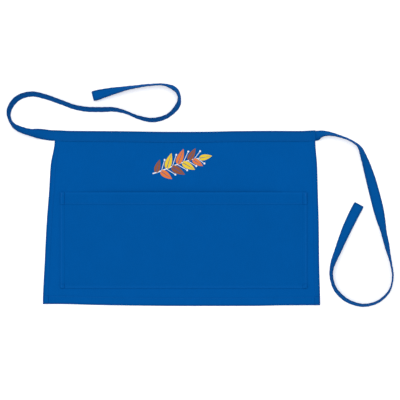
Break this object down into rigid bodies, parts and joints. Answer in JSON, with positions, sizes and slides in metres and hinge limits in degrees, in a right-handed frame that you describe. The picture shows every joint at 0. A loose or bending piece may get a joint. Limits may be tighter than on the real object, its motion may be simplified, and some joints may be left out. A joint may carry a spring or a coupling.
{
  "type": "short waist apron",
  "caption": "Short waist apron of plain blue twill with a wide patch pocket, laid flat face up, its two long tape ties lying loose beside it.",
  "frame": {"origin": "on the panel's flat underside, midway across the hem and midway between the hem and the top of the waistband", "axes": "+X to the wearer's left as the apron is seen from the front, along the waistband; +Y up the apron towards the waistband; +Z out of its front, up off the surface it lies on"},
  "size_m": [0.9109, 0.5262, 0.0248],
  "materials": {
    "panel_twill": "royal-blue cotton and polyester twill, matt",
    "pocket_twill": "the same twill, doubled at the hems",
    "band_tape": "the same twill folded into tape and stitched along both edges",
    "tie_tape": "the same folded tape, stitched along both edges"
  },
  "bodies": {
    "root": {"panel": "panel_twill", "pocket": "pocket_twill", "waistband": "band_tape", "tie_left": "tie_tape", "tie_right": "tie_tape"}
  },
  "joints": []
}
